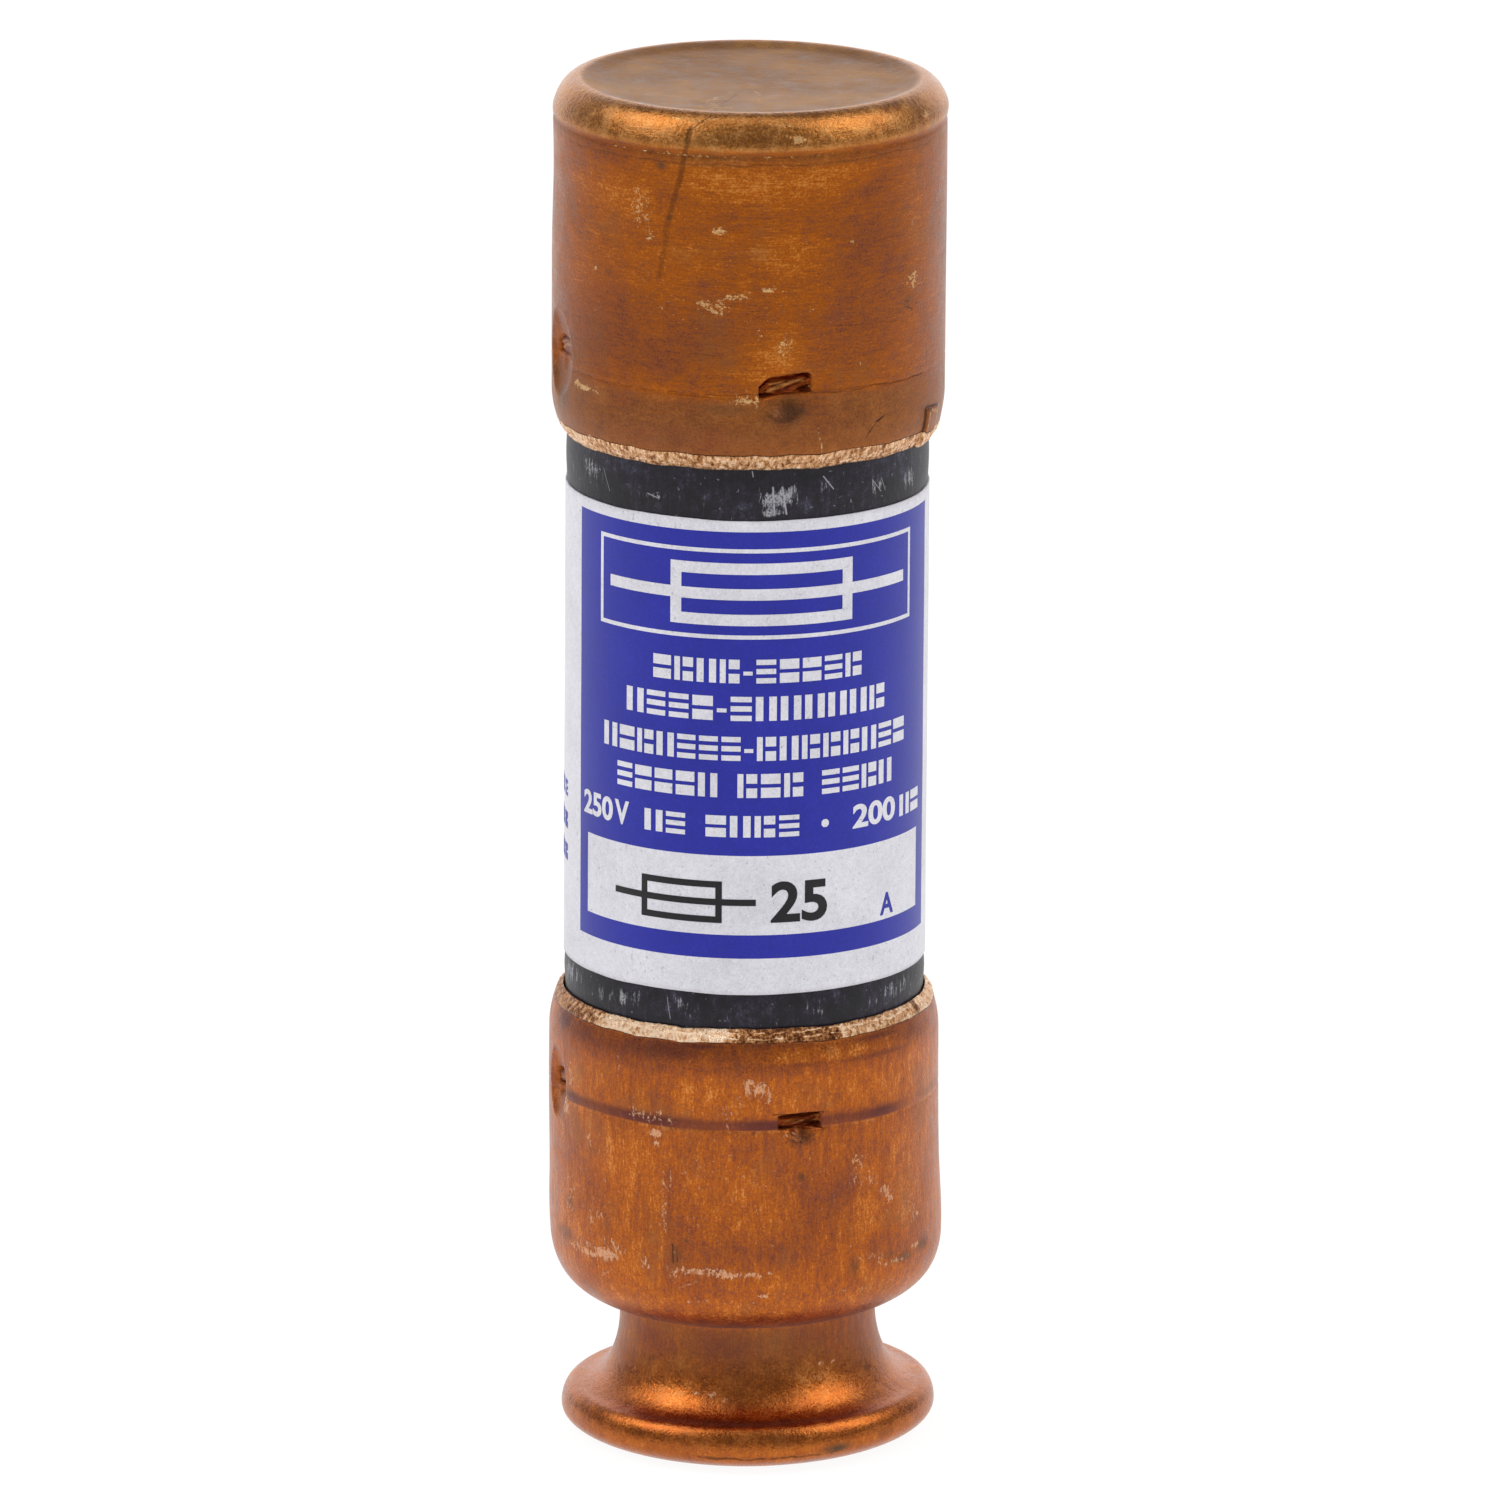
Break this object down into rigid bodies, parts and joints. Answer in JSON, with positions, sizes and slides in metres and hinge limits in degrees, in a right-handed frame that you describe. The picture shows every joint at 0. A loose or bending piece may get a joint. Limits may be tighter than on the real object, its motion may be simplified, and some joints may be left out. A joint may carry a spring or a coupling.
{
  "type": "cartridge fuse",
  "caption": "Ferrule-type time-delay cartridge fuse with a grooved rejection ferrule, a paper-labelled fibre tube and an internal spring-loaded overload trigger.",
  "frame": {"origin": "centre of the rejection ferrule's flat end face, on the fuse's axis", "axes": "+Z along the axis, from the rejection end up to the plain ferrule; -Y faces the front of the label; +X to the right of it"},
  "size_m": [0.0142, 0.0142, 0.0508],
  "materials": {
    "tube_fibre": "satin black laminated fibre tube",
    "label_paper": "white paper with blue print",
    "ferrule_copper": "tarnished drawn copper",
    "solder": "solidified tin solder",
    "fibre_board": "vulcanised fibre board",
    "strip_copper": "rolled copper",
    "sand": "packed quartz sand",
    "alloy": "low-melting alloy",
    "sleeve_fibre": "pale insulating fibre",
    "brass": "drawn brass",
    "spring_steel": "bright spring steel"
  },
  "bodies": {
    "fuse_body": {"tube": "tube_fibre", "label": "label_paper", "top_ferrule": "ferrule_copper", "rejection_ferrule": "ferrule_copper", "top_solder": "solder", "bottom_solder": "solder", "top_end_washer": "fibre_board", "bottom_end_washer": "fibre_board", "short_circuit_strip": "strip_copper", "sand_filler": "sand", "upper_barrier_disc": "fibre_board", "lower_barrier_disc": "fibre_board", "heat_absorber": "strip_copper", "absorber_solder": "solder", "fusible_alloy": "alloy", "insulating_sleeve": "sleeve_fibre", "trigger_barrel": "brass", "trigger_spring": "spring_steel", "spring_seat_washer": "spring_steel", "bottom_link": "strip_copper", "link_solder": "solder"},
    "trigger": {"trigger_plunger": "strip_copper"}
  },
  "joints": [
    {"name": "trigger_slide", "type": "slide", "parent": "fuse_body", "child": "trigger", "axis": [0, 0, -1], "range_m": [0, 0.0032], "stiffness_N_per_m": 1000, "springref_m": 0.006, "deforming": ["trigger_spring"]}
  ]
}
